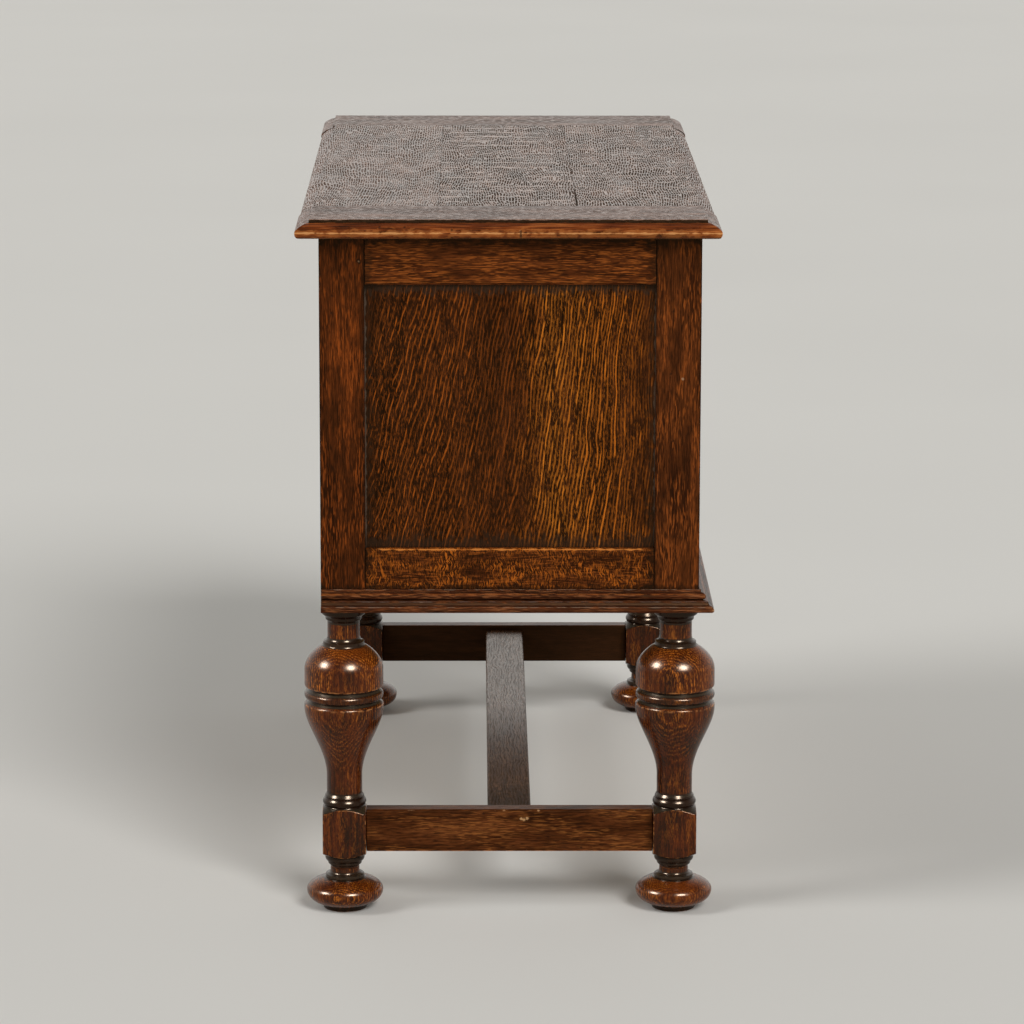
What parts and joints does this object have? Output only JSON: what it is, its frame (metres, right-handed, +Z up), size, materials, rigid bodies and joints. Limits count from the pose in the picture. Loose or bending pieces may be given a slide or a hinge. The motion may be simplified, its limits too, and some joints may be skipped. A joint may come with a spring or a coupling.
{
  "type": "blanket chest",
  "caption": "Oak blanket chest with a hinged, clamped lid over a framed and panelled box, standing on turned cup-and-cover legs with bun feet and low stretchers.",
  "frame": {"origin": "on the floor, under the middle of the lid", "axes": "+Z up, +X along the length to the right as seen from the front, +Y from the front to the back"},
  "size_m": [0.982, 0.4494, 0.7595],
  "materials": {
    "frame_oak": "dark stained oak, polished",
    "panel_oak": "quarter-sawn oak with ray fleck, stained and polished",
    "turned_oak": "dark stained oak, glossy",
    "lid_oak": "quarter-sawn oak, stained, worn polish",
    "bottom_deal": "plain softwood, unpolished",
    "hinge_steel": "dull steel"
  },
  "bodies": {
    "chest": {"leg_front_left": "turned_oak", "leg_front_right": "turned_oak", "leg_back_left": "turned_oak", "leg_back_right": "turned_oak", "bun_foot_front_left": "turned_oak", "bun_foot_front_right": "turned_oak", "bun_foot_back_left": "turned_oak", "bun_foot_back_right": "turned_oak", "end_stretcher_left": "frame_oak", "end_stretcher_right": "frame_oak", "centre_stretcher": "frame_oak", "corner_post_front_left": "frame_oak", "corner_post_front_right": "frame_oak", "corner_post_back_left": "frame_oak", "corner_post_back_right": "frame_oak", "left_end_top_rail": "frame_oak", "left_end_bottom_rail": "frame_oak", "left_end_panel": "panel_oak", "right_end_top_rail": "frame_oak", "right_end_bottom_rail": "frame_oak", "right_end_panel": "panel_oak", "front_top_rail": "frame_oak", "front_bottom_rail": "frame_oak", "front_muntin_left": "frame_oak", "front_muntin_right": "frame_oak", "front_panel_left": "panel_oak", "front_panel_middle": "panel_oak", "front_panel_right": "panel_oak", "back_top_rail": "frame_oak", "back_bottom_rail": "frame_oak", "back_muntin": "frame_oak", "back_panel_left": "panel_oak", "back_panel_right": "panel_oak", "bottom_ledger_front": "bottom_deal", "bottom_ledger_back": "bottom_deal", "bottom_ledger_left_end": "bottom_deal", "bottom_ledger_right_end": "bottom_deal", "bottom_board_front": "bottom_deal", "bottom_board_middle": "bottom_deal", "bottom_board_back": "bottom_deal", "base_moulding_front": "frame_oak", "base_moulding_left": "frame_oak", "base_moulding_right": "frame_oak", "hinge_left_body_leaf": "hinge_steel", "hinge_left_pin": "hinge_steel", "hinge_right_body_leaf": "hinge_steel", "hinge_right_pin": "hinge_steel"},
    "lid": {"lid_board_front": "lid_oak", "lid_board_middle": "lid_oak", "lid_board_back": "lid_oak", "lid_cleat_left": "lid_oak", "lid_cleat_right": "lid_oak", "hinge_left_lid_leaf": "hinge_steel", "hinge_right_lid_leaf": "hinge_steel"}
  },
  "joints": [
    {"name": "lid_hinge", "type": "hinge", "parent": "chest", "child": "lid", "pos_m": [0, 0.20405, 0.7365], "axis": [-1, 0, 0], "range_deg": [0, 95]}
  ]
}
